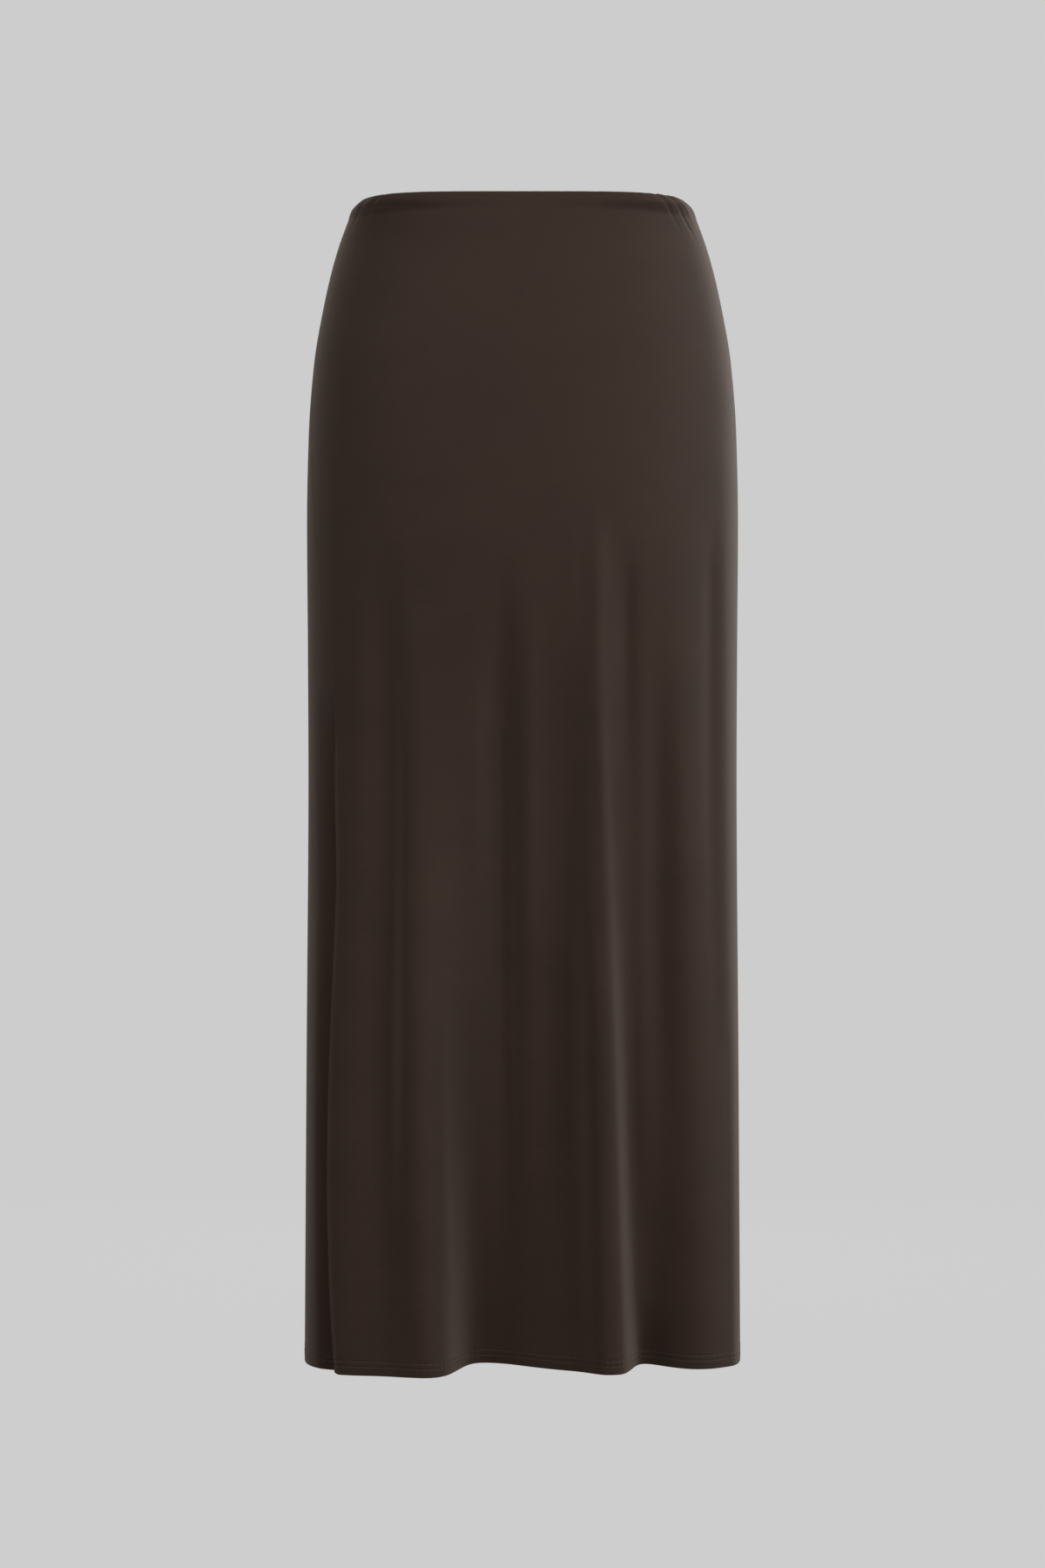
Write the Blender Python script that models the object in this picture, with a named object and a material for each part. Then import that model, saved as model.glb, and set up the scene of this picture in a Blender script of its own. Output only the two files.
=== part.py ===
"""A midi skirt in plain jersey with one side slit, filled out as it hangs when it is worn.

Metres, +Z up. The origin is the middle of the waist opening, level with its top edge, where the
wearer holds it up. The front faces -Y and the wearer's right is -X.

The skirt is two panels, front and back, sewn at the sides. Level rings give the figure that it
hangs on, a table of folds moves the cloth in from those rings, and each panel is a wall of cloth
between its two side edges. On the wearer's right the seam stops at the slit: below it the edge of
the front panel stands off, and the edge of the back panel passes behind it.
"""

from collections import namedtuple

import bmesh
import bpy
import numpy as np

# ---- Driving sizes ----
LENGTH = 0.895  # waist edge to hem
CLOTH = 0.0016  # wall of one layer of jersey
TURNED = 0.0030  # wall where the cloth is turned in on itself
WAIST_TURN = 0.012  # depth of the turned waist edge
HEM_TURN = 0.0125  # depth of the turned-up hem
STEP = 0.0015  # height over which a turned edge runs out to a single layer
SEAM_GAP = 0.0003  # between the two panels where they are sewn
SLIT_DROP = 0.404  # waist edge to the top of the slit
SLIT_PARTING = 0.026  # height over which the two edges part, above the slit
HIP_DROP = 0.250  # below here the cloth hangs free
FOLD_HANG = 0.5  # hanging length over which a fold's slant lifts the hem

# ---- Fineness of the solids ----
RING_STEPS = 1440
FRONT_COLUMNS = 58
BACK_COLUMNS = 54
COLUMN_PULL = 0.022  # how strongly the columns gather where the cloth turns
HIP_ROWS = 10
HIP_CROWDING = 1.4  # 1 for even rows, more to crowd them towards the waist
HANG_ROWS = 14
ROW_SPACE = 0.009  # an even row gives way to a fixed one that is closer than this
SHARP_ANGLE = 50  # degrees; an edge that turns more is shaded sharp

# ---- The figure: level rings, from the waist down ----
Ring = namedtuple("Ring", "drop half_width front_depth back_depth squareness")
RINGS = (
    Ring(0.000, 0.1255, 0.0975, 0.0860, 4.00),
    Ring(0.006, 0.1328, 0.0978, 0.0880, 3.50),
    Ring(0.014, 0.1367, 0.0985, 0.0905, 2.80),
    Ring(0.040, 0.1461, 0.1000, 0.0990, 2.45),
    Ring(0.081, 0.1557, 0.1030, 0.1090, 2.45),
    Ring(0.122, 0.1625, 0.1050, 0.1175, 2.45),
    Ring(0.176, 0.1666, 0.1055, 0.1240, 2.40),
    Ring(0.244, 0.1680, 0.1040, 0.1255, 2.40),
    Ring(0.340, 0.1673, 0.1010, 0.1225, 2.45),
    Ring(0.448, 0.1668, 0.0990, 0.1190, 2.55),
    Ring(0.650, 0.1680, 0.0980, 0.1170, 2.85),
    Ring(LENGTH, 0.1693, 0.0970, 0.1160, 3.20),
)

# ---- The folds: each is a trough in the cloth, or a ridge where its depth is negative ----
# in_* is where the cloth turns in and out_* where it comes out again, read towards the wearer's
# left, as a share of the half width. Spans are how wide each turn is. All grow towards the hem.
Fold = namedtuple(
    "Fold",
    "face starts depth growth in_top in_hem in_span_top in_span_hem"
    " out_top out_hem out_span_top out_span_hem",
)
FRONT, BACK = -1, 1
FOLDS = (
    # right thigh: a low ridge
    Fold(FRONT, 0.22, -0.009, 0.8, -0.61, -0.57, 0.010, 0.016, -0.41, -0.31, 0.040, 0.009),
    # centre: a deep trough that comes out in two steps
    Fold(FRONT, 0.25, 0.020, 1.4, -0.38, -0.30, 0.034, 0.010, -0.09, 0.01, 0.008, 0.026),
    Fold(FRONT, 0.25, 0.032, 1.4, -0.38, -0.30, 0.034, 0.010, 0.26, 0.22, 0.016, 0.046),
    # left thigh: steep on the inside, easy on the outside
    Fold(FRONT, 0.23, 0.052, 1.4, 0.345, 0.515, 0.010, 0.012, 0.66, 0.72, 0.012, 0.026),
    # beside the left hip: a short shallow one
    Fold(FRONT, 0.20, 0.003, 0.5, 0.80, 0.84, 0.012, 0.012, 0.89, 0.93, 0.006, 0.008),
    # back
    Fold(BACK, 0.34, 0.034, 1.6, -0.70, -0.66, 0.014, 0.012, -0.46, -0.38, 0.014, 0.024),
    Fold(BACK, 0.30, 0.046, 1.6, -0.16, -0.22, 0.020, 0.024, 0.10, 0.12, 0.012, 0.010),
    Fold(BACK, 0.32, 0.030, 1.5, 0.40, 0.36, 0.016, 0.022, 0.62, 0.66, 0.010, 0.010),
)

# ---- The panels' side edges ----
# forward is measured along the cloth from the figure's side towards the centre front. Below the
# slit, stand_off is how far the front panel's edge stands out, underlap is how far the back
# panel's edge passes behind it, and sink is how far that edge lies in from the figure.
Edge = namedtuple("Edge", "drop forward stand_off underlap sink")
SLIT_EDGE = (
    Edge(0.000, 0.0000, 0.000, 0.000, 0.0000),
    Edge(0.200, 0.0350, 0.000, 0.000, 0.0000),
    Edge(SLIT_DROP - SLIT_PARTING, 0.0665, 0.000, 0.000, 0.0000),
    Edge(SLIT_DROP, 0.0694, 0.000, 0.000, 0.0026),
    Edge(0.448, 0.0712, 0.001, 0.006, 0.0036),
    Edge(0.535, 0.0774, 0.004, 0.016, 0.0042),
    Edge(0.655, 0.0788, 0.009, 0.024, 0.0048),
    Edge(0.740, 0.0811, 0.012, 0.028, 0.0050),
    Edge(0.825, 0.0858, 0.014, 0.030, 0.0050),
    Edge(LENGTH, 0.0921, 0.016, 0.032, 0.0050),
)
SEAM_EDGE = (
    Edge(0.000, 0.0000, 0.000, 0.000, 0.0000),
    Edge(0.200, -0.0200, 0.000, 0.000, 0.0000),
    Edge(SLIT_DROP, -0.0380, 0.000, 0.000, 0.0000),
    Edge(LENGTH, -0.0460, 0.000, 0.000, 0.0000),
)
STAND_OFF_REACH = 0.060  # how far the standing edge is felt across the front
SINK_REACH = 0.030  # and the sunk one across the back

# ---- Finish ----
Finish = namedtuple("Finish", "name colour roughness")
JERSEY = Finish("brown_jersey", (0.040, 0.030, 0.026, 1.0), 0.85)


def along(table, column, drop):
    """A column of a table at each drop, on a smooth curve that never swings past its rows."""
    at = np.array([row.drop for row in table])
    value = np.array([getattr(row, column) for row in table])
    secant = np.diff(value) / np.diff(at)
    before, after = np.append(secant[0], secant), np.append(secant, secant[-1])
    even = before * after <= 0  # a row at a peak, at a dip or beside an even stretch
    slope = np.where(even, 0.0, 2 * before * after / np.where(even, 1.0, before + after))
    drop = np.clip(drop, at[0], at[-1])
    i = np.clip(np.searchsorted(at, drop, side="right") - 1, 0, len(at) - 2)
    span = at[i + 1] - at[i]
    t = (drop - at[i]) / span
    return (
        (2 * t**3 - 3 * t**2 + 1) * value[i]
        + (t**3 - 2 * t**2 + t) * span * slope[i]
        + (3 * t**2 - 2 * t**3) * value[i + 1]
        + (t**3 - t**2) * span * slope[i + 1]
    )


def ramp(x):
    """0 below 0, 1 above 1, and smooth between."""
    x = np.clip(x, 0.0, 1.0)
    return x * x * (3 - 2 * x)


def turn(distance, span):
    """A soft step from 0 to 1 across a turn of the cloth."""
    return 0.5 * (1 + np.tanh(distance / span))


class Level:
    """One level ring of the figure: its outline, and how far along it each point is."""

    def __init__(self, drop):
        self.drop = drop
        half_width = along(RINGS, "half_width", drop)
        power = along(RINGS, "squareness", drop)
        # bearings run from the centre back over the wearer's right, the front and the left
        bearing = np.linspace(-np.pi, np.pi, RING_STEPS + 1)
        ahead, aside = np.cos(bearing), np.sin(bearing)
        depth = np.where(
            ahead > 0, along(RINGS, "front_depth", drop), along(RINGS, "back_depth", drop)
        )
        radius = ((abs(ahead) / depth) ** power + (abs(aside) / half_width) ** power) ** (-1 / power)
        self.half_width = half_width
        self.x = radius * aside
        self.y = -radius * ahead
        steps = np.hypot(np.diff(self.x), np.diff(self.y))
        cloth = np.concatenate([[0.0], np.cumsum(steps)])
        # 0 at the centre front, growing towards the wearer's left
        self.cloth = cloth - cloth[RING_STEPS // 2]
        self.right_side = self.cloth[RING_STEPS // 4]
        self.left_side = self.cloth[3 * RING_STEPS // 4]
        self.round_it = self.cloth[-1] - self.cloth[0]

    def place(self, face, share):
        """How far along the ring a share of the half width is, on the front or the back."""
        quarter, half = RING_STEPS // 4, RING_STEPS // 2
        if face == FRONT:
            part = slice(quarter, quarter + half + 1)
            return np.interp(share * self.half_width, self.x[part], self.cloth[part])
        x = np.concatenate([self.x[quarter::-1], self.x[-2 : quarter + half - 1 : -1]])
        cloth = np.concatenate([self.cloth[quarter::-1], self.cloth[-2 : quarter + half - 1 : -1]])
        # the left half of the back continues past the right half, once round
        cloth = np.where(cloth > 0, cloth - self.round_it, cloth)
        return np.interp(share * self.half_width, x, cloth)


def fold_depth(level, cloth):
    """How far the folds move the cloth in, at each place along the ring."""
    depth = np.zeros_like(cloth)
    for fold in FOLDS:
        grown = np.clip((level.drop - fold.starts) / (LENGTH - fold.starts), 0.0, 1.0)
        if grown == 0:
            continue
        goes_in = level.place(fold.face, fold.in_top + (fold.in_hem - fold.in_top) * grown)
        comes_out = level.place(fold.face, fold.out_top + (fold.out_hem - fold.out_top) * grown)
        in_span = fold.in_span_top + (fold.in_span_hem - fold.in_span_top) * grown
        out_span = fold.out_span_top + (fold.out_span_hem - fold.out_span_top) * grown
        reach = fold.depth * grown**fold.growth
        for turned in (-level.round_it, 0.0, level.round_it):
            first, last = sorted((goes_in, comes_out))
            spans = (in_span, out_span) if goes_in < comes_out else (out_span, in_span)
            depth += reach * (
                turn(cloth - first - turned, spans[0]) - turn(cloth - last - turned, spans[1])
            )
    return depth


def outward(x, y):
    """The outward direction in plan, square to a run of points."""
    dx, dy = np.gradient(x), np.gradient(y)
    length = np.hypot(dx, dy)
    return dy / length, -dx / length


def gathered_steps(run, x, y, first, last, columns):
    """Places along a run between two ends, closer together where the cloth turns."""
    heading = np.unwrap(np.arctan2(np.gradient(y), np.gradient(x)))
    pull = 1 + COLUMN_PULL * abs(np.gradient(heading, run))
    counted = np.concatenate([[0.0], np.cumsum(0.5 * (pull[1:] + pull[:-1]) * np.diff(run))])
    ends = np.interp([first, last], run, counted)
    return np.interp(np.linspace(*ends, columns + 1), counted, run)


def panel_row(drop, face, columns):
    """The points of one level of a panel, and the outward direction in plan at each."""
    level = Level(drop)
    stand_off = along(SLIT_EDGE, "stand_off", drop)
    underlap = along(SLIT_EDGE, "underlap", drop)
    sink = along(SLIT_EDGE, "sink", drop)
    slit_side = level.right_side + along(SLIT_EDGE, "forward", drop)
    seam_side = level.left_side - along(SEAM_EDGE, "forward", drop)
    # three times round, so that any stretch of the ring is one run of points
    cloth = np.concatenate([level.cloth[:-1] + k * level.round_it for k in (-1, 0, 1)])
    x, y = np.tile(level.x[:-1], 3), np.tile(level.y[:-1], 3)
    moved_in = np.tile(fold_depth(level, level.cloth[:-1]), 3)
    if face == FRONT:
        start, end = slit_side, seam_side
        moved_in = moved_in - stand_off * (1 - ramp((cloth - slit_side) / STAND_OFF_REACH))
    else:
        start, end = seam_side, slit_side + underlap + level.round_it
        moved_in = moved_in + sink * ramp((cloth - slit_side - level.round_it) / SINK_REACH + 1)
    out_x, out_y = outward(x, y)
    x, y = x - out_x * moved_in, y - out_y * moved_in
    out_x, out_y = outward(x, y)
    run = np.concatenate([[0.0], np.cumsum(np.hypot(np.diff(x), np.diff(y)))])
    first, last = np.interp([start + SEAM_GAP / 2, end - SEAM_GAP / 2], cloth, run)
    at = gathered_steps(run, x, y, first, last, columns)
    lifted = np.interp(at, run, moved_in) ** 2 / (2 * FOLD_HANG)
    z = -drop + lifted * ramp((drop - HIP_DROP) / (LENGTH - HIP_DROP))
    points = np.stack([np.interp(at, run, x), np.interp(at, run, y), z], axis=1)
    plan = np.stack([np.interp(at, run, out_x), np.interp(at, run, out_y)], axis=1)
    return points, plan


def row_drops():
    """The levels of the rows: close at the waist, at the slit's top and at both turned edges."""
    waist = [0.0, WAIST_TURN / 2, WAIST_TURN, WAIST_TURN + STEP]
    hip = HIP_DROP * np.linspace(0, 1, HIP_ROWS + 1) ** HIP_CROWDING
    slit = [SLIT_DROP - SLIT_PARTING, SLIT_DROP]
    hem = [LENGTH - HEM_TURN - STEP, LENGTH - HEM_TURN, LENGTH]
    hang = np.linspace(HIP_DROP, hem[0], HANG_ROWS + 1)[1:-1]
    fixed = np.array(waist + slit + hem)
    free = [drop for drop in [*hip, *hang] if abs(fixed - drop).min() > ROW_SPACE]
    return np.sort([*fixed, *free])


def wall_at(drop):
    """The wall's thickness at a level: double where the cloth is turned in."""
    turned = drop <= WAIST_TURN or drop >= LENGTH - HEM_TURN
    return TURNED if turned else CLOTH


def panel(name, face, columns, finish):
    """One panel: its outer face, the same points moved in by the wall, and the rim between."""
    drops = row_drops()
    outer, plans = [], []
    for drop in drops:
        points, plan = panel_row(drop, face, columns)
        outer.append(points)
        plans.append(plan)
    outer, plans = np.array(outer), np.array(plans)
    # tilt the plan directions to stand square on the cloth's own fall
    fall = np.gradient(outer, drops, axis=0)
    lean = (fall[:, :, :2] * plans).sum(axis=2) / fall[:, :, 2]
    normal = np.dstack([plans, -lean])
    normal /= np.linalg.norm(normal, axis=2, keepdims=True)
    walls = np.array([wall_at(drop) for drop in drops])
    inner = outer - normal * walls[:, None, None]
    inner[0, :, 2] = outer[0, :, 2]
    inner[-1, :, 2] = outer[-1, :, 2]

    shell = bmesh.new()
    grids = [
        [[shell.verts.new(point) for point in row] for row in grid] for grid in (outer, inner)
    ]
    last_row, last_column = len(drops) - 1, columns
    for r in range(last_row):
        for c in range(last_column):
            for grid, order in zip(grids, (1, -1)):
                corners = [grid[r][c], grid[r + 1][c], grid[r + 1][c + 1], grid[r][c + 1]]
                shell.faces.new(corners[::order])
    rim = [(0, c) for c in range(last_column)]
    rim += [(r, last_column) for r in range(last_row)]
    rim += [(last_row, c) for c in range(last_column, 0, -1)]
    rim += [(r, 0) for r in range(last_row, 0, -1)]
    for (r, c), (next_r, next_c) in zip(rim, rim[1:] + rim[:1]):
        out, into = grids
        shell.faces.new([out[r][c], out[next_r][next_c], into[next_r][next_c], into[r][c]])
    bmesh.ops.recalc_face_normals(shell, faces=shell.faces)
    mesh = bpy.data.meshes.new(name)
    shell.to_mesh(mesh)
    shell.free()
    mesh.shade_smooth()
    mesh.set_sharp_from_angle(angle=np.radians(SHARP_ANGLE))
    mesh.materials.append(finish)
    made = bpy.data.objects.new(name, mesh)
    bpy.context.scene.collection.objects.link(made)
    return made


def material(finish):
    """A Principled material with a finish's colour and roughness."""
    made = bpy.data.materials.new(finish.name)
    made.use_nodes = True
    shader = made.node_tree.nodes["Principled BSDF"]
    shader.inputs["Base Color"].default_value = finish.colour
    shader.inputs["Roughness"].default_value = finish.roughness
    shader.inputs["Metallic"].default_value = 0.0
    return made


def main():
    for thing in list(bpy.data.objects):
        bpy.data.objects.remove(thing)
    jersey = material(JERSEY)
    panel("front_panel", FRONT, FRONT_COLUMNS, jersey)
    panel("back_panel", BACK, BACK_COLUMNS, jersey)


main()
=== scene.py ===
import math

import bpy
import numpy as np
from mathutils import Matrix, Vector


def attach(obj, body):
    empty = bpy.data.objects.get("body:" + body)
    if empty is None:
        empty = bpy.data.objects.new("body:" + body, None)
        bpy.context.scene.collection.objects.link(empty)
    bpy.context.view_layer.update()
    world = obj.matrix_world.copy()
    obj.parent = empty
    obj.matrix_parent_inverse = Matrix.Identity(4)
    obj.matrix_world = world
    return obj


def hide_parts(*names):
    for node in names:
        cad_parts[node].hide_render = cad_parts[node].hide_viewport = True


# Side-slit midi skirt in brown jersey, hanging as it is worn. Metres, +Z up, front towards -Y.
# The origin is the middle of the waist opening. "drop" is always the way down from there, and
# "face" is -1 for the front panel and 1 for the back one.

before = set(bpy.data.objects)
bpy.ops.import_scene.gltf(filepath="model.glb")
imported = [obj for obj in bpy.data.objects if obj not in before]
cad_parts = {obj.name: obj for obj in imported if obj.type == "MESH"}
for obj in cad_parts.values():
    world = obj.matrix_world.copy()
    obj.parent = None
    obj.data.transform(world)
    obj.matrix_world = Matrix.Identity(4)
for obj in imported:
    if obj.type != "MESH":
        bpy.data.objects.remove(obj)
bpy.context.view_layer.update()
front, back = -1, 1
print("frame loaded:", ", ".join(sorted(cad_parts)))

# the camera stands straight in front, level with the middle of the skirt
photoView = {
    "distance": 3.0,       # from the lens to the plane of the skirt's sides
    "height": -0.448,
    "shownHeight": 1.224,  # how much of that plane the picture's long side takes in
    "sensor": 36,
}


def addCamera(settings):
    lens = bpy.data.cameras.new("photoCamera")
    lens.sensor_width = settings["sensor"]
    lens.lens = settings["sensor"] * settings["distance"] / settings["shownHeight"]
    camera = bpy.data.objects.new("photoCamera", lens)
    camera.location = (0, -settings["distance"], settings["height"])
    camera.rotation_euler = (math.radians(90), 0, 0)
    bpy.context.scene.collection.objects.link(camera)
    bpy.context.scene.camera = camera
    bpy.context.scene.view_settings.view_transform = "Standard"


addCamera(photoView)
print("camera placed")

# pale grey studio: an even floor that meets an even background, and soft lamps, most at the right
studio = {
    "grey": 0.610,            # background and floor as the picture shows them
    "fillFromAround": 0.010,  # how much of it lights the cloth
    "floorDrop": 1.25,
    "floorRadius": 60.0,
    "floorGlow": 0.6088,
    "floorPaint": 0.010,
}
lamps = [
    # the watts began as a rounded least-squares fit to the picture, and six were then changed;
    # frontSmall, frontHigh, right and above still hold the fit's, the two behind never did
    # name, place, width, height, watts
    ("front", (0.0, -4.2, 0.3), 2.4, 2.0, 12),
    ("frontSmall", (0.3, -3.6, 0.9), 0.8, 0.8, 9),
    ("frontHigh", (0.0, -2.6, 2.2), 1.8, 1.6, 15),
    ("frontRight", (1.3, -2.9, 0.2), 0.7, 1.4, 12.5),
    ("frontLeft", (-1.2, -3.0, 0.3), 0.7, 1.4, 15.5),
    ("right", (1.9, -1.6, 0.0), 0.9, 1.8, 22.5),
    ("left", (-1.8, -1.6, 0.8), 0.9, 1.4, 15),
    ("rightSide", (2.4, -0.65, 0.45), 0.9, 1.3, 14),
    ("rightEdge", (2.3, 0.35, 0.3), 0.6, 1.5, 9),
    ("above", (0.0, -0.5, 2.4), 1.6, 1.6, 9),
    ("behind", (0.0, 4.2, 0.6), 1.2, 1.8, 80),
    ("behindRight", (2.2, 2.6, 0.2), 0.9, 1.6, 16),
]
lampAim = (0.0, 0.0, -0.42)


def addFloor(settings):
    bpy.ops.mesh.primitive_circle_add(
        vertices=96, radius=settings["floorRadius"], fill_type="NGON", location=(0, 0, -settings["floorDrop"])
    )
    floor = bpy.context.object
    floor.name = "studioFloor"
    paint = bpy.data.materials.new("paleFloor")
    paint.use_nodes = True
    nodes, links = paint.node_tree.nodes, paint.node_tree.links
    nodes.clear()
    out = nodes.new("ShaderNodeOutputMaterial")
    glow = nodes.new("ShaderNodeEmission")
    glow.inputs["Color"].default_value = (1, 1, 1, 1)
    # only the picture sees the glow: it would light the cloth from below
    ray, seenGlow = nodes.new("ShaderNodeLightPath"), nodes.new("ShaderNodeMath")
    seenGlow.operation = "MULTIPLY"
    seenGlow.inputs[1].default_value = settings["floorGlow"]
    links.new(ray.outputs["Is Camera Ray"], seenGlow.inputs[0])
    links.new(seenGlow.outputs[0], glow.inputs["Strength"])
    matt = nodes.new("ShaderNodeBsdfDiffuse")
    matt.inputs["Color"].default_value = (*[settings["floorPaint"]] * 3, 1)
    both = nodes.new("ShaderNodeAddShader")
    links.new(glow.outputs[0], both.inputs[0])
    links.new(matt.outputs[0], both.inputs[1])
    # from underneath the floor is clear, so that a low view still sees the hem
    clear = nodes.new("ShaderNodeBsdfTransparent")
    side = nodes.new("ShaderNodeNewGeometry")
    pick = nodes.new("ShaderNodeMixShader")
    links.new(side.outputs["Backfacing"], pick.inputs[0])
    links.new(both.outputs[0], pick.inputs[1])
    links.new(clear.outputs[0], pick.inputs[2])
    links.new(pick.outputs[0], out.inputs["Surface"])
    floor.data.materials.append(paint)


def addBackground(settings):
    world = bpy.data.worlds.new("greyStudio")
    bpy.context.scene.world = world
    world.use_nodes = True
    nodes, links = world.node_tree.nodes, world.node_tree.links
    nodes.clear()
    out = nodes.new("ShaderNodeOutputWorld")
    seen, lighting = nodes.new("ShaderNodeBackground"), nodes.new("ShaderNodeBackground")
    seen.inputs["Color"].default_value = (*[settings["grey"]] * 3, 1)
    lighting.inputs["Color"].default_value = (*[settings["fillFromAround"]] * 3, 1)
    ray, pick = nodes.new("ShaderNodeLightPath"), nodes.new("ShaderNodeMixShader")
    links.new(ray.outputs["Is Camera Ray"], pick.inputs[0])
    links.new(lighting.outputs[0], pick.inputs[1])
    links.new(seen.outputs[0], pick.inputs[2])
    links.new(pick.outputs[0], out.inputs["Surface"])


def addLamp(name, place, width, height, watts):
    light = bpy.data.lights.new(name, "AREA")
    light.shape = "RECTANGLE"
    light.size, light.size_y = width, height
    light.energy = watts
    lamp = bpy.data.objects.new(name, light)
    lamp.location = place
    lamp.visible_camera = False
    direction = np.array(lampAim) - np.array(place)
    lamp.rotation_mode = "QUATERNION"
    lamp.rotation_quaternion = Vector(direction.tolist()).to_track_quat("-Z", "Y")
    bpy.context.scene.collection.objects.link(lamp)


addFloor(studio)
addBackground(studio)
for lamp in lamps:
    addLamp(*lamp)
print("studio lit with", len(lamps), "lamps")

# the skirt's cut and hang; the same sizes as the solid it stands for
skirt = {
    "length": 0.895,
    "hipDrop": 0.250,        # below here the cloth hangs free
    "foldHang": 0.5,         # hanging length over which a fold's slant lifts the hem
    "slitDrop": 0.404,
    "slitParting": 0.026,
    "standOffReach": 0.060,
    "sinkReach": 0.030,
    "seamGap": 0.00012,
    "ringSteps": 1440,
    # level rings: drop, half width, depth in front, depth behind, squareness; the first three
    # were fitted to the picture's outline by a search outside this file
    "rings": [
        (0.000, 0.1255, 0.0975, 0.0860, 4.00),
        (0.006, 0.1328, 0.0978, 0.0880, 3.50),
        (0.014, 0.1367, 0.0985, 0.0905, 2.80),
        (0.040, 0.1461, 0.1000, 0.0990, 2.45),
        (0.081, 0.1557, 0.1030, 0.1090, 2.45),
        (0.122, 0.1625, 0.1050, 0.1175, 2.45),
        (0.176, 0.1666, 0.1055, 0.1240, 2.40),
        (0.244, 0.1680, 0.1040, 0.1255, 2.40),
        (0.340, 0.1673, 0.1010, 0.1225, 2.45),
        (0.448, 0.1668, 0.0990, 0.1190, 2.55),
        (0.650, 0.1680, 0.0980, 0.1170, 2.85),
        (0.895, 0.1693, 0.0970, 0.1160, 3.20),
    ],
    # folds: face, start, depth, growth, then for each side of the fold its place at the top and
    # the hem as a share of the half width, and how softly it turns at the top and the hem
    "folds": [
        (front, 0.22, -0.009, 0.8, (-0.61, -0.57, 0.010, 0.016), (-0.41, -0.31, 0.040, 0.009)),
        (front, 0.25, 0.020, 1.4, (-0.38, -0.30, 0.034, 0.010), (-0.09, 0.01, 0.008, 0.026)),
        (front, 0.25, 0.032, 1.4, (-0.38, -0.30, 0.034, 0.010), (0.26, 0.22, 0.016, 0.046)),
        (front, 0.23, 0.052, 1.4, (0.345, 0.515, 0.010, 0.012), (0.66, 0.72, 0.012, 0.026)),
        (front, 0.20, 0.003, 0.5, (0.80, 0.84, 0.012, 0.012), (0.89, 0.93, 0.006, 0.008)),
        (back, 0.34, 0.034, 1.6, (-0.70, -0.66, 0.014, 0.012), (-0.46, -0.38, 0.014, 0.024)),
        (back, 0.30, 0.046, 1.6, (-0.16, -0.22, 0.020, 0.024), (0.10, 0.12, 0.012, 0.010)),
        (back, 0.32, 0.030, 1.5, (0.40, 0.36, 0.016, 0.022), (0.62, 0.66, 0.010, 0.010)),
    ],
    # slit edges: drop, forward along the cloth, front stands off, back laps under, back sinks;
    # "forward" was solved outside this file from where the picture shows the edge
    "slitEdges": [
        (0.000, 0.0000, 0.000, 0.000, 0.0000),
        (0.200, 0.0350, 0.000, 0.000, 0.0000),
        (0.378, 0.0665, 0.000, 0.000, 0.0000),
        (0.404, 0.0694, 0.000, 0.000, 0.0026),
        (0.448, 0.0712, 0.001, 0.006, 0.0036),
        (0.535, 0.0774, 0.004, 0.016, 0.0042),
        (0.655, 0.0788, 0.009, 0.024, 0.0048),
        (0.740, 0.0811, 0.012, 0.028, 0.0050),
        (0.825, 0.0858, 0.014, 0.030, 0.0050),
        (0.895, 0.0921, 0.016, 0.032, 0.0050),
    ],
    # the other side's seam: drop, forward along the cloth
    "seamEdges": [(0.000, 0.0), (0.200, -0.0200), (0.404, -0.0380), (0.895, -0.0460)],
}

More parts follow.
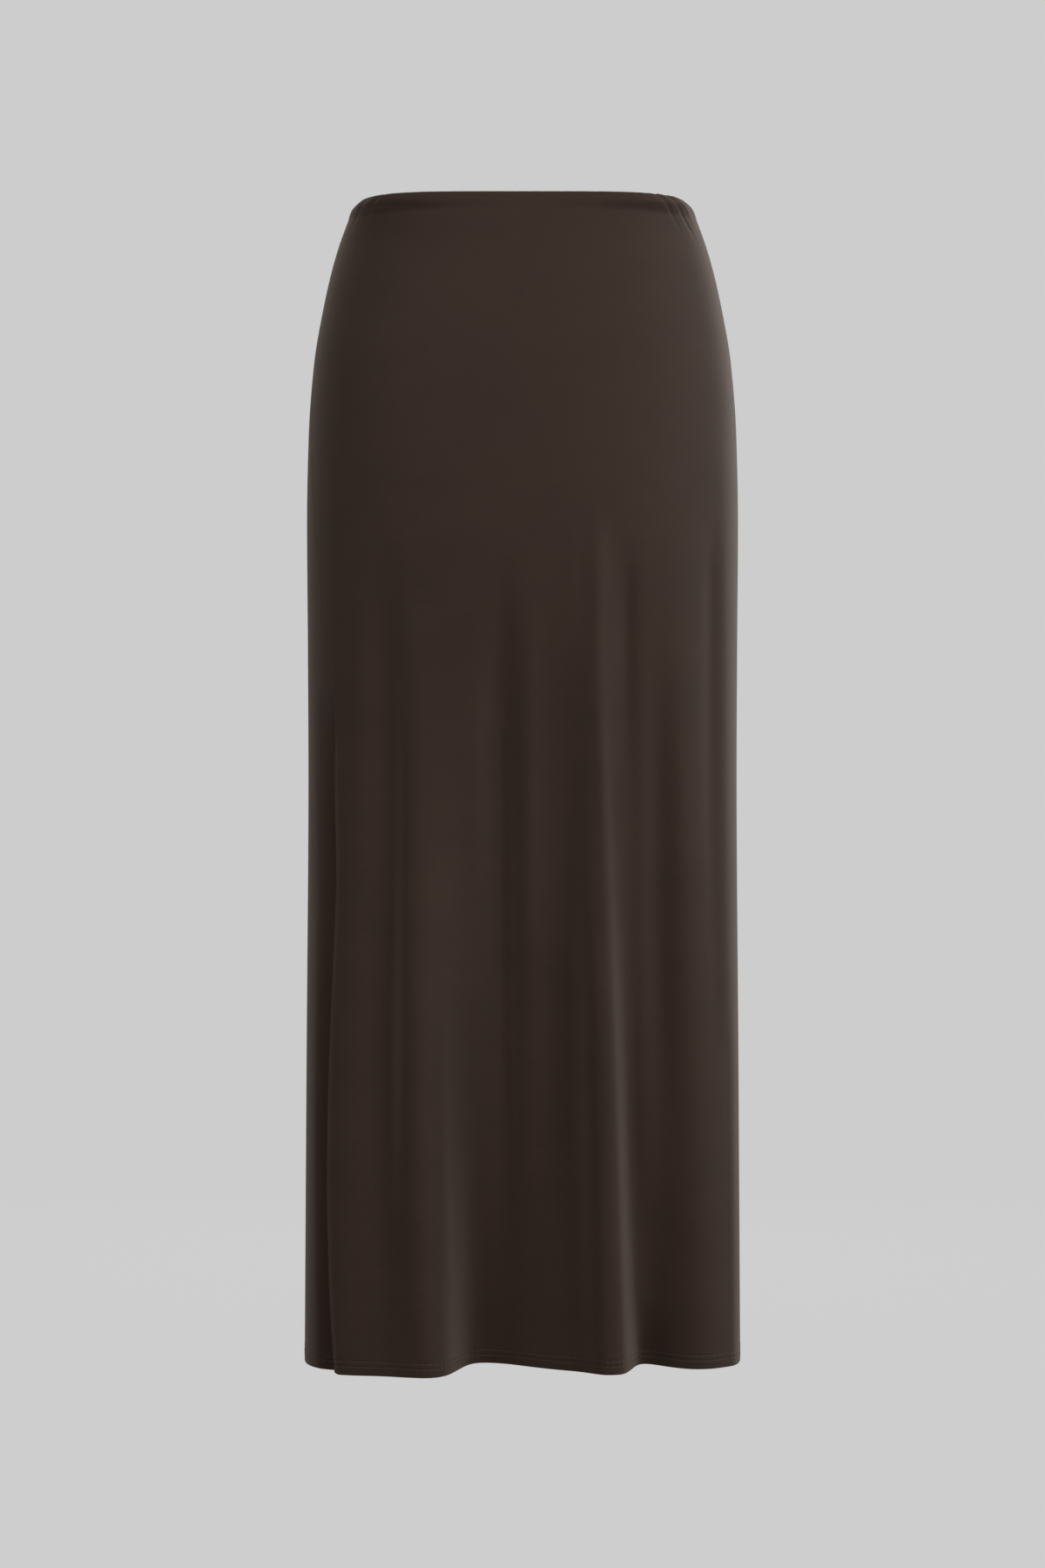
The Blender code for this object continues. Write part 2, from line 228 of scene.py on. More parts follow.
# soft creases on top of the big folds. Each has its face, the drops between which it runs, its
# place at both ends as a share of the half width, how wide it is to the right and to the left for
# someone looking out of the skirt, its depth (a ridge where negative), and over what length it
# comes in and runs out
creases = [
    (front, 0.235, 0.900, -0.612, -0.602, 0.0180, 0.0130, 0.0080, 0.22, 0.26),
    (front, 0.250, 0.640, -0.735, -0.720, 0.0110, 0.0110, -0.0012, 0.10, 0.24),
    (front, 0.400, 1.060, -0.458, -0.430, 0.0260, 0.0245, -0.0088, 0.26, 0.20),
    (front, 0.550, 1.100, -0.376, -0.300, 0.0050, 0.0040, -0.0013, 0.10, 0.10),
    (front, 0.255, 0.960, -0.096, -0.072, 0.0135, 0.0110, 0.0115, 0.20, 0.46),
    (front, 0.270, 0.760, 0.040, 0.014, 0.0080, 0.0080, -0.0014, 0.10, 0.25),
    (front, 0.290, 1.000, 0.188, 0.205, 0.0350, 0.0170, 0.0110, 0.20, 0.30),
    (front, 0.520, 0.860, 0.155, 0.130, 0.0120, 0.0080, 0.0016, 0.10, 0.15),
    (front, 0.232, 0.560, 0.336, 0.346, 0.0085, 0.0090, -0.0026, 0.05, 0.24),
    (front, 0.420, 1.100, 0.314, 0.402, 0.0130, 0.0230, -0.0086, 0.22, 0.10),
    (front, 0.340, 1.100, 0.350, 0.500, 0.0060, 0.0050, -0.0018, 0.12, 0.10),
    (front, 0.262, 0.470, 0.478, 0.482, 0.0080, 0.0070, 0.0040, 0.06, 0.14),
    (front, 0.330, 0.620, 0.560, 0.575, 0.0070, 0.0065, -0.0010, 0.10, 0.15),
    (front, 0.480, 0.893, 0.568, 0.590, 0.0120, 0.0160, -0.0070, 0.25, 0.05),
    (front, 0.340, 0.760, 0.640, 0.690, 0.0130, 0.0080, 0.0050, 0.15, 0.20),
    (front, 0.235, 0.680, 0.872, 0.888, 0.0110, 0.0075, 0.0027, 0.07, 0.30),
    (front, 0.235, 0.330, 0.215, 0.225, 0.0050, 0.0045, -0.0004, 0.03, 0.05),
    (front, 0.240, 0.420, -0.150, -0.140, 0.0060, 0.0060, -0.0005, 0.06, 0.10),
    (front, 0.560, 1.100, 0.930, 0.950, 0.0090, 0.0070, 0.0012, 0.14, 0.10),
    (back, 0.270, 0.700, -0.880, -0.860, 0.009, 0.0060, 0.0022, 0.12, 0.22),
    (back, 0.300, 1.100, -0.735, -0.700, 0.005, 0.0048, -0.0018, 0.14, 0.10),
    (back, 0.330, 0.620, -0.560, -0.575, 0.012, 0.0070, 0.0026, 0.12, 0.15),
    (back, 0.280, 0.840, -0.330, -0.300, 0.015, 0.0065, 0.0034, 0.16, 0.24),
    (back, 0.460, 1.100, -0.245, -0.250, 0.005, 0.0046, -0.0015, 0.14, 0.10),
    (back, 0.300, 0.560, -0.060, -0.070, 0.008, 0.0080, -0.0012, 0.10, 0.14),
    (back, 0.340, 0.900, 0.060, 0.030, 0.006, 0.0150, 0.0032, 0.14, 0.30),
    (back, 0.290, 0.660, 0.250, 0.270, 0.007, 0.0120, 0.0028, 0.12, 0.20),
    (back, 0.420, 1.100, 0.350, 0.310, 0.005, 0.0046, -0.0016, 0.14, 0.10),
    (back, 0.310, 0.540, 0.500, 0.490, 0.010, 0.0068, 0.0018, 0.09, 0.12),
    (back, 0.280, 0.760, 0.700, 0.735, 0.008, 0.0075, -0.0014, 0.14, 0.24),
    (back, 0.250, 0.600, 0.870, 0.890, 0.006, 0.0110, 0.0021, 0.08, 0.20),
    (back, 0.600, 1.100, 0.960, 0.975, 0.009, 0.0090, -0.0014, 0.14, 0.10),
    # drawn in by the elastic at the four corners of the waist
    (front, -0.006, 0.030, 0.800, 0.865, 0.0021, 0.0021, 0.0006, 0.006, 0.016),
    (front, -0.006, 0.034, 0.865, 0.935, 0.0021, 0.0021, 0.0007, 0.006, 0.018),
    (front, -0.006, 0.024, 0.905, 0.965, 0.0019, 0.0019, -0.0005, 0.006, 0.012),
    (front, -0.006, 0.022, -0.835, -0.880, 0.0021, 0.0021, 0.0005, 0.006, 0.012),
    (front, -0.006, 0.026, -0.905, -0.950, 0.0021, 0.0021, 0.0006, 0.006, 0.014),
    (back, -0.006, 0.032, -0.860, -0.915, 0.0021, 0.0021, 0.0008, 0.006, 0.016),
    (back, -0.006, 0.024, -0.780, -0.815, 0.0021, 0.0021, 0.0006, 0.006, 0.013),
    (back, -0.006, 0.028, 0.790, 0.840, 0.0021, 0.0021, 0.0007, 0.006, 0.014),
    (back, -0.006, 0.034, 0.880, 0.935, 0.0021, 0.0021, 0.0008, 0.006, 0.018),
]

# small uneven gathers all along the elastic
gathers = {
    "seed": 7,
    "pitch": 0.0092,
    "halfWidth": (0.0020, 0.0034),
    "depth": (0.00008, 0.00038),
    "reach": (0.008, 0.020),
}

# how the fine cloth is made from it
cloth = {
    "thin": 0.0011,        # one layer
    "doubled": 0.0021,     # where it is turned in on itself
    "waistTurn": 0.012,
    "waistSwell": 0.00027,  # how far the elastic fills out the turned waist edge
    "swellMiddle": 0.8,     # where it is fullest, of half the turn
    "swellFade": 1.15,
    "waistGroove": 0.00016,
    "grooveSpan": 0.0013,
    "hemTurn": 0.0125,
    "slitTurn": 0.009,
    "rawStep": 0.0012,     # how soon a turned edge runs out
    "seamRound": 0.0003,   # rounding of an edge that is sewn
    "cornerRound": 0.0036, # the slit's two bottom corners
    "columns": 288,
    "columnPull": 0.012,
    "edgeSteps": [0.0, 0.0001, 0.0003, 0.0006, 0.0010, 0.0016],
    "sideSteps": [0.0, 0.0001, 0.0003, 0.0006, 0.0010, 0.0016, 0.0022, 0.0029, 0.0038],
    "waistStep": 0.0015,   # row height at the waist
    "waistFine": 0.030,
    "hemFine": 0.018,
    "hemExtraRows": (0.0028, 0.0042, 0.0155),  # more rows, by height over the hem's edge
    "coarseStep": 0.0080,
    "underShare": 0.4,     # how much of the fine relief shows on the inside
    "curl": 0.0017,        # the front's slit edge curls outwards
    "curlReach": 0.0030,
}

# two rows of fine stitches hold the hem up
hemRows = {
    "above": (0.0068, 0.0109),  # heights over the hem's edge
    "groove": 0.00034,
    "grooveHalf": 0.00055,
    "between": 0.00012,         # the cloth stands up a little between the rows
    "rowSteps": (-0.0014, -0.0009, -0.0006, -0.0003, 0.0, 0.0003, 0.0006, 0.0009, 0.0014),
    "pucker": 0.00014,
    "puckerPitch": 0.0052,
    "puckerDrift": 0.021,       # length over which the pitch wanders
    "bandFade": 1.5,            # how far past both rows the pucker reaches
    "pitch": 0.0027,
    "length": 0.0022,
    "halfThread": 0.00019,
    "sunk": 0.25,               # of the thread's half thickness
    "sides": 7,
    "rings": (0.0, 0.10, 0.28, 0.5, 0.72, 0.90, 1.0),
    "clear": 0.0015,            # the first stitch's distance from the panel's edge
    "innerThread": 0.00016,     # half thickness of the thread inside
    "innerClear": 0.6,          # how far out of the cloth it lies, of its half thickness
    "innerSides": 5,
}


def tableCurve(table, column, drop):
    # a smooth curve through one column of a table
    at = np.array([row[0] for row in table])
    value = np.array([row[column] for row in table])
    secant = np.diff(value) / np.diff(at)
    before, after = np.append(secant[0], secant), np.append(secant, secant[-1])
    flat = before * after <= 0
    slope = np.where(flat, 0.0, 2 * before * after / np.where(flat, 1.0, before + after))
    drop = np.clip(drop, at[0], at[-1])
    i = np.clip(np.searchsorted(at, drop, side="right") - 1, 0, len(at) - 2)
    span = at[i + 1] - at[i]
    t = (drop - at[i]) / span
    rise = (2 * t**3 - 3 * t**2 + 1) * value[i] + (3 * t**2 - 2 * t**3) * value[i + 1]
    return rise + ((t**3 - 2 * t**2 + t) * slope[i] + (t**3 - t**2) * slope[i + 1]) * span


def ramp(x):
    x = np.clip(x, 0.0, 1.0)
    return x * x * (3 - 2 * x)


def softTurn(distance, span):
    return 0.5 * (1 + np.tanh(distance / span))


def outward(x, y):
    dx, dy = np.gradient(x), np.gradient(y)
    length = np.hypot(dx, dy)
    return dy / length, -dx / length


def levelRing(drop):
    # one level outline, from the centre back over the wearer's right, the front and the left
    steps = skirt["ringSteps"]
    halfWidth, power = (tableCurve(skirt["rings"], column, drop) for column in (1, 4))
    bearing = np.linspace(-np.pi, np.pi, steps + 1)
    ahead, aside = np.cos(bearing), np.sin(bearing)
    depths = [tableCurve(skirt["rings"], column, drop) for column in (2, 3)]
    depth = np.where(ahead > 0, *depths)
    radius = ((abs(ahead) / depth) ** power + (abs(aside) / halfWidth) ** power) ** (-1 / power)
    x, y = radius * aside, -radius * ahead
    along = np.concatenate([[0.0], np.cumsum(np.hypot(np.diff(x), np.diff(y)))])
    along -= along[steps // 2]
    girth = along[-1] - along[0]
    return {"drop": drop, "halfWidth": halfWidth, "x": x, "y": y, "along": along, "girth": girth}


def placeOnRing(ring, face, share):
    # how far along the ring a share of the half width is, on the front or the back
    quarter, half = skirt["ringSteps"] // 4, skirt["ringSteps"] // 2
    x, along = ring["x"], ring["along"]
    if face == front:
        part = slice(quarter, quarter + half + 1)
        return np.interp(share * ring["halfWidth"], x[part], along[part])
    x = np.concatenate([x[quarter::-1], x[-2 : quarter + half - 1 : -1]])
    along = np.concatenate([along[quarter::-1], along[-2 : quarter + half - 1 : -1]])
    along = np.where(along > 0, along - ring["girth"], along)
    return np.interp(share * ring["halfWidth"], x, along)


def foldDepth(ring, along):
    depth = np.zeros_like(along)
    for face, starts, deepest, growth, *sides in skirt["folds"]:
        grown = np.clip((ring["drop"] - starts) / (skirt["length"] - starts), 0.0, 1.0)
        if grown == 0:
            continue
        turns = [
            (placeOnRing(ring, face, top + (hem - top) * grown), softTop + (softHem - softTop) * grown)
            for top, hem, softTop, softHem in sides
        ]
        (first, firstSoft), (last, lastSoft) = sorted(turns)
        for turned in (-ring["girth"], 0.0, ring["girth"]):
            inside = softTurn(along - first - turned, firstSoft) - softTurn(along - last - turned, lastSoft)
            depth += deepest * grown**growth * inside
    return depth


def creaseDepth(ring, along):
    depth = np.zeros_like(along)
    for face, top, bottom, topShare, bottomShare, widthRight, widthLeft, deepest, runIn, runOut in creases:
        if not top < ring["drop"] < bottom:
            continue
        strength = ramp((ring["drop"] - top) / runIn) * ramp((bottom - ring["drop"]) / runOut)
        share = topShare + (bottomShare - topShare) * (ring["drop"] - top) / (bottom - top)
        middle = placeOnRing(ring, face, share)
        away = (along - middle + ring["girth"] / 2) % ring["girth"] - ring["girth"] / 2
        depth += deepest * strength * np.exp(-(away / np.where(away < 0, widthRight, widthLeft)) ** 2)
    return depth


def gatherDepth(ring, along, table):
    # the same gathers at each level: place as a share of the way round, half width, depth, reach
    depth = np.zeros_like(along)
    for share, width, deepest, reach in table:
        if ring["drop"] < reach:
            away = (along / ring["girth"] - share + 0.5) % 1.0 - 0.5
            fade = ramp(1 - ring["drop"] / reach)
            depth += deepest * fade * np.exp(-(away * ring["girth"] / width) ** 2)
    return depth


def scatterGathers(settings):
    chance = np.random.default_rng(settings["seed"])
    count = round(levelRing(0.0)["girth"] / settings["pitch"])
    shares = (np.arange(count) + chance.uniform(0.15, 0.85, count)) / count
    ranges = (settings["halfWidth"], settings["depth"], settings["reach"])
    return list(zip(shares, *(chance.uniform(*limits, count) for limits in ranges)))


def rowPlaces(run, x, y, first, last):
    # places along a run: packed at both edges, and closer together where the cloth turns
    heading = np.unwrap(np.arctan2(np.gradient(y), np.gradient(x)))
    pull = 1 + cloth["columnPull"] * abs(np.gradient(heading, run))
    counted = np.concatenate([[0.0], np.cumsum(0.5 * (pull[1:] + pull[:-1]) * np.diff(run))])
    steps = np.array(cloth["sideSteps"])
    head, tail = first + steps, last - steps[::-1]
    ends = np.interp([head[-1], tail[0]], run, counted)
    middle = np.interp(np.linspace(*ends, cloth["columns"] + 1), counted, run)
    return np.concatenate([head[:-1], middle, tail[1:]])


def clothRow(drop, face, gatherTable):
    # one level row of a panel's outer face
    ring = levelRing(drop)
    forward, standOff, underlap, sink = (
        tableCurve(skirt["slitEdges"], column, drop) for column in (1, 2, 3, 4)
    )
    slitSide = ring["along"][skirt["ringSteps"] // 4] + forward
    seamSide = ring["along"][3 * skirt["ringSteps"] // 4] - tableCurve(skirt["seamEdges"], 1, drop)
    once = ring["along"][:-1]
    folded = foldDepth(ring, once)
    creased = creaseDepth(ring, once) + gatherDepth(ring, once, gatherTable)
    along = np.concatenate([once + k * ring["girth"] for k in (-1, 0, 1)])
    x, y, movedIn, creased = (np.tile(v, 3) for v in (ring["x"][:-1], ring["y"][:-1], folded, creased))
    if face == front:
        start, end = slitSide, seamSide
        movedIn = movedIn - standOff * (1 - ramp((along - slitSide) / skirt["standOffReach"]))
    else:
        start, end = seamSide, slitSide + underlap + ring["girth"]
        movedIn = movedIn + sink * ramp((along - slitSide - ring["girth"]) / skirt["sinkReach"] + 1)
    outX, outY = outward(x, y)
    x, y = x - outX * (movedIn + creased), y - outY * (movedIn + creased)
    run = np.concatenate([[0.0], np.cumsum(np.hypot(np.diff(x), np.diff(y)))])
    first, last = np.interp([start + skirt["seamGap"] / 2, end - skirt["seamGap"] / 2], along, run)
    at = rowPlaces(run, x, y, first, last)
    lifted = np.interp(at, run, movedIn) ** 2 / (2 * skirt["foldHang"])
    z = -drop + lifted * ramp((drop - skirt["hipDrop"]) / (skirt["length"] - skirt["hipDrop"]))
    points = np.stack([np.interp(at, run, x), np.interp(at, run, y), z], axis=1)
    return points, at - first, last - first


def rowDrops():
    # fine rows at the waist, tight ones at the hem's stitches, and packed ones at the very edges
    steps = np.array(cloth["edgeSteps"])
    length = skirt["length"]
    top = np.arange(steps[-1] + cloth["waistStep"], cloth["waistFine"] - 0.0005, cloth["waistStep"])
    count = round((length - cloth["waistFine"] - cloth["hemFine"]) / cloth["coarseStep"])
    middle = np.linspace(cloth["waistFine"], length - cloth["hemFine"], count + 1)
    turnEnd = cloth["hemTurn"] + cloth["rawStep"] * np.array([-0.5, 0.0, 0.5])
    stitched = [above + step for above in hemRows["above"] for step in hemRows["rowSteps"]]
    extra = [*cloth["hemExtraRows"], np.mean(hemRows["above"])]
    hem = length - np.sort([*turnEnd, *stitched, *extra])[::-1]
    return np.concatenate([steps, top, middle, hem, length - steps[::-1]])


def gridNormals(points):
    across, down = np.gradient(points, axis=1), np.gradient(points, axis=0)
    normal = np.cross(down, across)
    return normal / np.linalg.norm(normal, axis=2, keepdims=True)


def rolledIn(distance, radius):
    # how far a rounded edge has drawn in at a distance from its rim
    near = np.clip(1 - distance / radius, 0.0, 1.0)
    return radius * (1 - np.sqrt(1 - near**2))


def fineRelief(drop, toHem, fromStart):
    # how far the elastic and the hem's stitching raise the cloth, or pull it in
    halfTurn = cloth["waistTurn"] / 2
    relief = cloth["waistSwell"] * ramp(
        cloth["swellFade"] - abs(drop - cloth["swellMiddle"] * halfTurn) / halfTurn
    )
    relief -= cloth["waistGroove"] * np.exp(-((drop - cloth["waistTurn"]) / cloth["grooveSpan"]) ** 2)
    for above in hemRows["above"]:
        relief -= hemRows["groove"] * np.exp(-((toHem - above) / hemRows["grooveHalf"]) ** 2)
    low, high = hemRows["above"]
    band = ramp(hemRows["bandFade"] - abs(toHem - (low + high) / 2) / (high - low))
    wander = 3 * np.sin(fromStart / hemRows["puckerDrift"])
    ripple = np.sin(2 * np.pi * fromStart / hemRows["puckerPitch"] + wander)
    return relief + band * (hemRows["between"] + hemRows["pucker"] * ripple)


def panelGrid(face):
    drops = rowDrops()
    gatherTable = scatterGathers(gathers)
    rows = [clothRow(drop, face, gatherTable) for drop in drops]
    outer = np.array([row[0] for row in rows])
    fromStart = np.array([row[1] for row in rows])
    width = np.array([row[2] for row in rows])[:, None]
    drop = drops[:, None] + 0 * fromStart
    toEnd = width - fromStart
    slitSide, seamSide = (fromStart, toEnd) if face == front else (toEnd, fromStart)

    # the slit's bottom corners are rounded off
    corner = cloth["cornerRound"]
    nearCorner = np.clip(1 - slitSide / corner, 0.0, 1.0)
    raised = corner * (1 - np.sqrt(1 - nearCorner**2))
    toHem = skirt["length"] - drop
    outer[:, :, 2] += raised * ramp(1 - toHem / (3 * corner))

    normal = gridNormals(outer)
    opened = ramp((drop - skirt["slitDrop"]) / skirt["slitParting"])
    doubling = np.maximum.reduce([
        ramp((cloth["waistTurn"] - drop) / cloth["rawStep"] + 0.5),
        ramp((cloth["hemTurn"] - toHem) / cloth["rawStep"] + 0.5),
        opened * ramp((cloth["slitTurn"] - slitSide) / cloth["rawStep"] + 0.5),
    ])
    wall = cloth["thin"] + (cloth["doubled"] - cloth["thin"]) * doubling
    half = wall / 2
    slitRound = cloth["seamRound"] + (half - cloth["seamRound"]) * opened
    drawnIn = np.maximum.reduce([
        rolledIn(drop, half), rolledIn(toHem, half),
        rolledIn(slitSide, slitRound), rolledIn(seamSide, cloth["seamRound"]),
    ])
    relief = fineRelief(drop, toHem, fromStart)
    if face == front:
        outer += normal * (cloth["curl"] * opened * ramp(1 - slitSide / cloth["curlReach"]))[:, :, None]
    over = outer + normal * (relief - drawnIn)[:, :, None]
    under = outer + normal * (cloth["underShare"] * relief - wall + drawnIn)[:, :, None]
    return {
        "drops": drops, "over": over, "under": under, "normal": normal,
        "place": np.stack([fromStart, drop, 0 * drop], axis=2),
    }


def addMesh(name, points, faces, material, places=None):
    mesh = bpy.data.meshes.new(name)
    mesh.from_pydata(points.tolist(), [], faces)
    if places is not None:
        attribute = mesh.attributes.new("clothPlace", "FLOAT_VECTOR", "POINT")
        attribute.data.foreach_set("vector", places.ravel())
    mesh.shade_smooth()
    mesh.materials.append(material)
    made = bpy.data.objects.new(name, mesh)
    bpy.context.scene.collection.objects.link(made)
    mesh.calc_loop_triangles()
    print(name, "made with", len(mesh.loop_triangles), "triangles")
    return made


def buildPanel(name, grid, material):
    over, under = grid["over"], grid["under"]
    rowCount, columnCount = over.shape[:2]
    overIds = np.arange(rowCount * columnCount).reshape(rowCount, columnCount)
    underIds = overIds.copy()
    inner = (slice(1, -1), slice(1, -1))  # the rim is shared by both sides of the cloth
    underIds[inner] = np.arange((rowCount - 2) * (columnCount - 2)).reshape(rowCount - 2, -1) + overIds.size
    points = np.concatenate([over.reshape(-1, 3), under[inner].reshape(-1, 3)])
    places = np.concatenate([grid["place"].reshape(-1, 3), grid["place"][inner].reshape(-1, 3)])

    def quads(ids, flip):
        corners = [ids[:-1, :-1], ids[1:, :-1], ids[1:, 1:], ids[:-1, 1:]]
        return np.stack(corners[::-1] if flip else corners, axis=2).reshape(-1, 4)

    faces = np.concatenate([quads(overIds, False), quads(underIds, True)])
    return addMesh(name, points, faces.tolist(), material, places)


def stitchedLine(grid, side, above):
    # the places, outward directions and running length of the grid's row at a stitched height
    row = np.argmin(abs(skirt["length"] - grid["drops"] - above))
    points, normals = grid[side][row], grid["normal"][row]
    steps = np.linalg.norm(np.diff(points, axis=0), axis=1)
    return points, normals, np.concatenate([[0.0], np.cumsum(steps)])


def along3(values, run, at):
    return np.stack([np.interp(at, run, values[:, axis]) for axis in range(3)], axis=1)


def buildStitches(name, grid, material):
    # every stitch is a short thread with round ends, half sunk in its groove
    sides, rings = hemRows["sides"], np.array(hemRows["rings"])
    thick = hemRows["halfThread"]
    girth = thick * np.sqrt(np.clip(1 - (2 * abs(rings - 0.5)) ** 4, 0.0, 1.0))
    angle = np.linspace(0, 2 * np.pi, sides, endpoint=False)
    inner = girth[1:-1]
    points, faces, offset = [], [], 0
    ring = [(a, (a + 1) % sides) for a in range(sides)]
    for above in hemRows["above"]:
        line, normals, run = stitchedLine(grid, "over", above)
        count = int((run[-1] - 2 * hemRows["clear"]) / hemRows["pitch"])
        middle = hemRows["clear"] + hemRows["pitch"] * (np.arange(count) + 0.5)
        centre = along3(line, run, middle)
        out = along3(normals, run, middle)
        ahead = along3(line, run, middle + 0.0005) - along3(line, run, middle - 0.0005)
        ahead /= np.linalg.norm(ahead, axis=1, keepdims=True)
        aside = np.cross(ahead, out)
        for at, up, forward, across in zip(centre, out, ahead, aside):
            base = at - up * thick * hemRows["sunk"]
            shape = [base + forward * hemRows["length"] * (rings[0] - 0.5)]
            for share, radius in zip(rings[1:-1], inner):
                spine = base + forward * hemRows["length"] * (share - 0.5)
                shape += [spine + radius * (math.cos(a) * up + math.sin(a) * across) for a in angle]
            shape.append(base + forward * hemRows["length"] * (rings[-1] - 0.5))
            points += shape
            lastOne = offset + len(shape) - 1
            for k in range(len(inner) - 1):
                low, high = offset + 1 + k * sides, offset + 1 + (k + 1) * sides
                faces += [(low + a, low + b, high + b, high + a) for a, b in ring]
            faces += [(offset, offset + 1 + b, offset + 1 + a) for a, b in ring]
            top = lastOne - sides
            faces += [(lastOne, top + a, top + b) for a, b in ring]
            offset += len(shape)
    return addMesh(name, np.array(points), faces, material)


def buildInnerThread(name, grid, material):
    # inside, one thread zigzags between the two rows
    radius, sides = hemRows["innerThread"], hemRows["innerSides"]
    lines = [stitchedLine(grid, "under", above) for above in hemRows["above"]]
    reach = min(run[-1] for points, normals, run in lines)
    at = np.arange(hemRows["clear"], reach - hemRows["clear"], hemRows["pitch"] / 2)
    odd = (np.arange(len(at)) % 2)[:, None]
    spine = np.where(odd, *(along3(points, run, at) for points, normals, run in lines))
    out = np.where(odd, *(along3(normals, run, at) for points, normals, run in lines))
    spine -= hemRows["innerClear"] * radius * out
    ahead = np.gradient(spine, axis=0)
    ahead /= np.linalg.norm(ahead, axis=1, keepdims=True)
    aside = np.cross(ahead, out)
    angle = np.linspace(0, 2 * np.pi, sides, endpoint=False)
    tube = spine[:, None] + radius * (
        np.cos(angle)[None, :, None] * out[:, None] + np.sin(angle)[None, :, None] * aside[:, None]
    )
    ids = np.arange(len(at) * sides).reshape(len(at), sides)
    turned = np.roll(ids, -1, axis=1)
    faces = np.stack([ids[:-1], turned[:-1], turned[1:], ids[1:]], axis=2).reshape(-1, 4).tolist()
    faces += [ids[0][::-1].tolist(), ids[-1].tolist()]
    return addMesh(name, tube.reshape(-1, 3), faces, material)


# fine single jersey in dark brown
jersey = {
    "dark": (0.0205, 0.0086, 0.0060),
    "light": (0.0278, 0.0123, 0.0088),
    "roughness": 0.62,
    "gloss": 0.22,
    "glossTint": (1.0, 0.91, 0.76),
    "sheen": 0.45,
    "sheenRoughness": 0.50,
    "sheenTint": (0.88, 0.74, 0.64),
    "wale": 0.00062,    # width of one column of stitches
    "course": 0.00050,  # height of one row of stitches
    "knitHeight": 0.00005,
}
thread = {
    "colour": (0.0150, 0.0078, 0.0060),
    "roughness": 0.45,
    "sheen": 0.15,
    "ply": 0.0004,      # height of one turn of the thread's twist
    "plyHeight": 0.00004,
}


class NodeBench:
    # short ways to add and join the nodes of one material
    def __init__(self, name, settings):
        self.material = bpy.data.materials.new(name)
        self.material.use_nodes = True
        self.nodes, self.links = self.material.node_tree.nodes, self.material.node_tree.links
        self.shader = self.nodes["Principled BSDF"]
        for socket, key in (
            ("Roughness", "roughness"), ("Specular IOR Level", "gloss"),
            ("Sheen Weight", "sheen"), ("Sheen Roughness", "sheenRoughness"),
        ):
            if key in settings:
                self.shader.inputs[socket].default_value = settings[key]
        for socket, key in (("Specular Tint", "glossTint"), ("Sheen Tint", "sheenTint")):
            if key in settings:
                self.shader.inputs[socket].default_value = (*settings[key], 1)

    def put(self, socket, value):
        if hasattr(value, "links"):
            self.links.new(value, socket)
        elif value is not None:
            socket.default_value = value

    def calc(self, operation, first, second=None):
        node = self.nodes.new("ShaderNodeMath")
        node.operation = operation
        self.put(node.inputs[0], first)
        self.put(node.inputs[1], second)
        return node.outputs[0]

    def noise(self, place, scale, detail, roughness):
        stretch = self.nodes.new("ShaderNodeVectorMath")
        stretch.operation = "MULTIPLY"
        stretch.inputs[1].default_value = scale
        self.links.new(place, stretch.inputs[0])
        texture = self.nodes.new("ShaderNodeTexNoise")
        self.put(texture.inputs["Vector"], stretch.outputs[0])
        self.put(texture.inputs["Scale"], 1.0)
        self.put(texture.inputs["Detail"], detail)
        self.put(texture.inputs["Roughness"], roughness)
        return texture.outputs["Fac"]

    def spread(self, value, low, high):
        node = self.nodes.new("ShaderNodeMapRange")
        self.put(node.inputs["Value"], value)
        self.put(node.inputs["From Min"], low)
        self.put(node.inputs["From Max"], high)
        return node.outputs["Result"]

    def colourBetween(self, share, first, second):
        node = self.nodes.new("ShaderNodeMix")
        node.data_type = "RGBA"
        self.put(node.inputs["Factor"], share)
        self.put(node.inputs["A"], (*first, 1))
        self.put(node.inputs["B"], (*second, 1))
        self.links.new(node.outputs["Result"], self.shader.inputs["Base Color"])

    def emboss(self, height, distance, strength):
        node = self.nodes.new("ShaderNodeBump")
        self.put(node.inputs["Distance"], distance)
        self.put(node.inputs["Strength"], strength)
        self.links.new(height, node.inputs["Height"])
        self.links.new(node.outputs["Normal"], self.shader.inputs["Normal"])


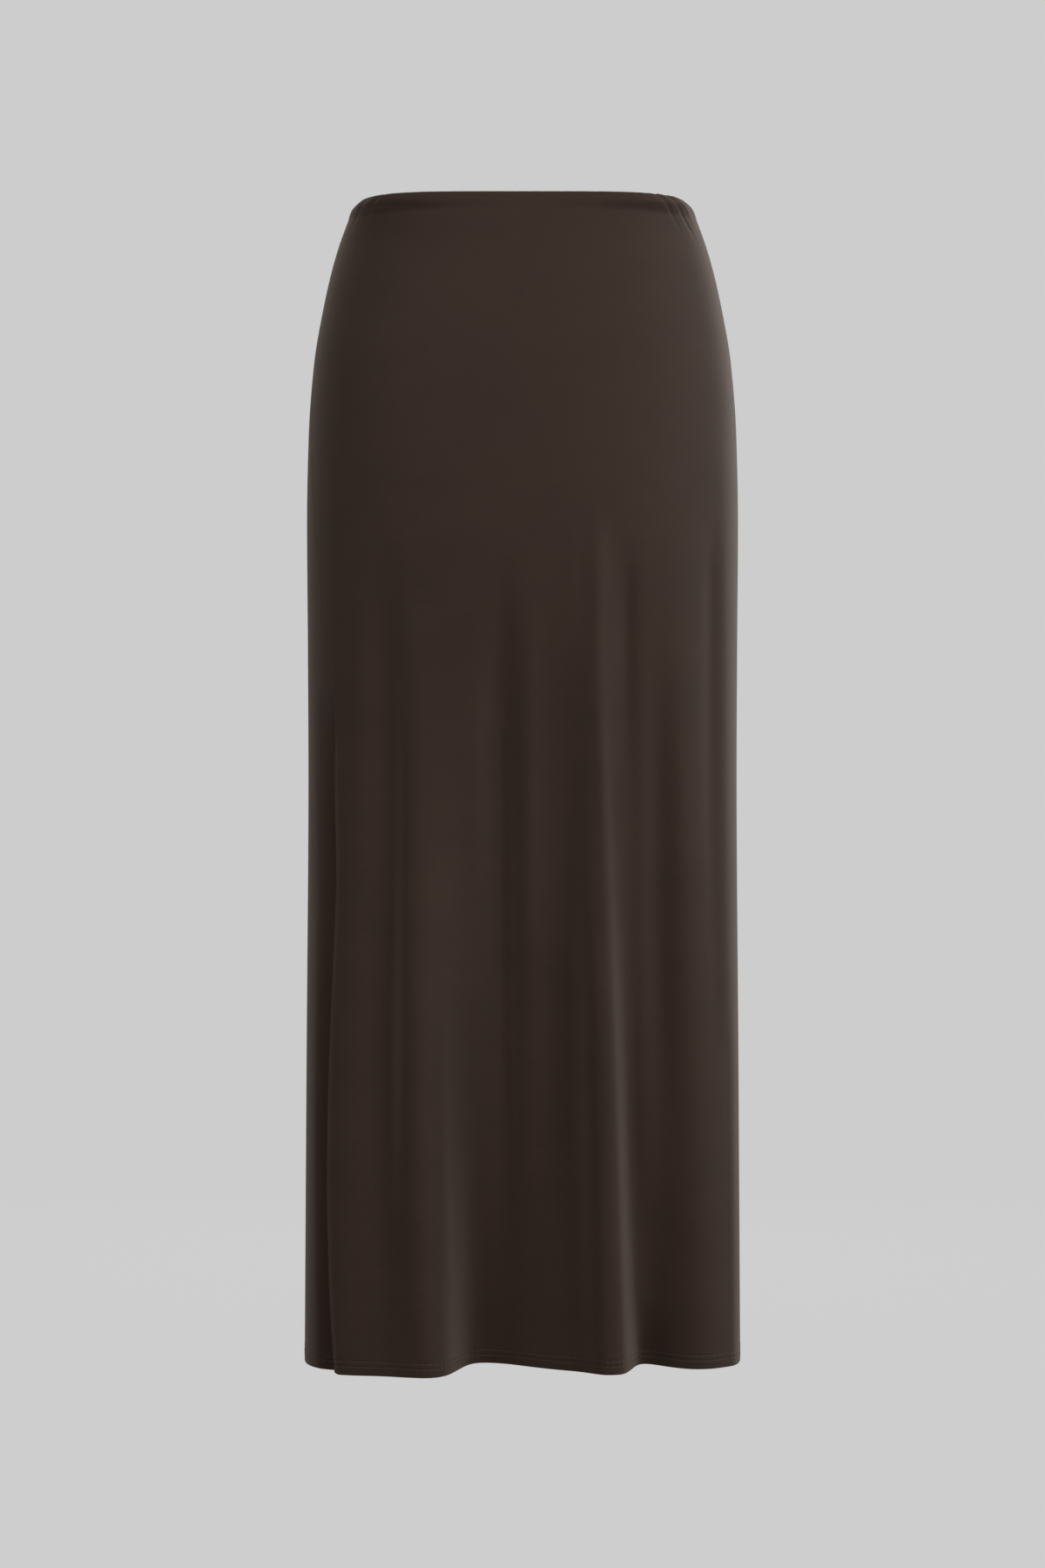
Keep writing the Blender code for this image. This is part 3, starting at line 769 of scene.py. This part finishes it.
def makeJersey(settings):
    bench = NodeBench("brownJersey", settings)
    attribute = bench.nodes.new("ShaderNodeAttribute")
    attribute.attribute_name = "clothPlace"
    place = attribute.outputs["Vector"]

    # short level streaks from the yarn, and broad soft clouding
    streaks = bench.noise(place, (60, 1100, 1), 3, 0.6)
    clouds = bench.noise(place, (14, 22, 1), 4, 0.55)
    shade = bench.calc("ADD", bench.calc("MULTIPLY", streaks, 0.55), bench.calc("MULTIPLY", clouds, 0.45))
    bench.colourBetween(bench.spread(shade, 0.36, 0.64), settings["dark"], settings["light"])

    # the knit: columns of small Vs
    split = bench.nodes.new("ShaderNodeSeparateXYZ")
    bench.links.new(place, split.inputs[0])
    rib = bench.calc("PINGPONG", bench.calc("MULTIPLY", split.outputs["X"], 1 / settings["wale"]), 0.5)
    slanted = bench.calc("ADD", bench.calc("MULTIPLY", split.outputs["Y"], 1 / settings["course"]), rib)
    loops = bench.calc("SINE", bench.calc("MULTIPLY", slanted, 2 * math.pi))
    knit = bench.calc("ADD", bench.calc("MULTIPLY", rib, 1.6), bench.calc("MULTIPLY", loops, 0.25))
    bench.emboss(bench.calc("ADD", knit, bench.calc("MULTIPLY", streaks, 1.2)), settings["knitHeight"], 0.7)
    return bench.material


def makeThread(settings):
    bench = NodeBench("brownThread", settings)
    place = bench.nodes.new("ShaderNodeTexCoord").outputs["Object"]
    ply = bench.noise(place, (1 / settings["ply"],) * 3, 1, 0.5)
    darker = [0.7 * value for value in settings["colour"]]
    bench.colourBetween(ply, darker, settings["colour"])
    bench.emboss(ply, settings["plyHeight"], 0.5)
    return bench.material


brownJersey, brownThread = makeJersey(jersey), makeThread(thread)
for face, side, node, flat, area in (
    (front, "front", "front_panel", (0.500, 0.920), 0.41),
    (back, "back", "back_panel", (0.560, 0.920), 0.48),
):
    grid = panelGrid(face)
    panel = buildPanel(side + "Panel", grid, brownJersey)
    stitches = buildStitches(side + "HemStitches", grid, brownThread)
    innerThread = buildInnerThread(side + "HemInnerThread", grid, brownThread)
    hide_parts(node)
    for piece in (panel, stitches, innerThread):
        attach(piece, "root")
print("cloth and sewing made")
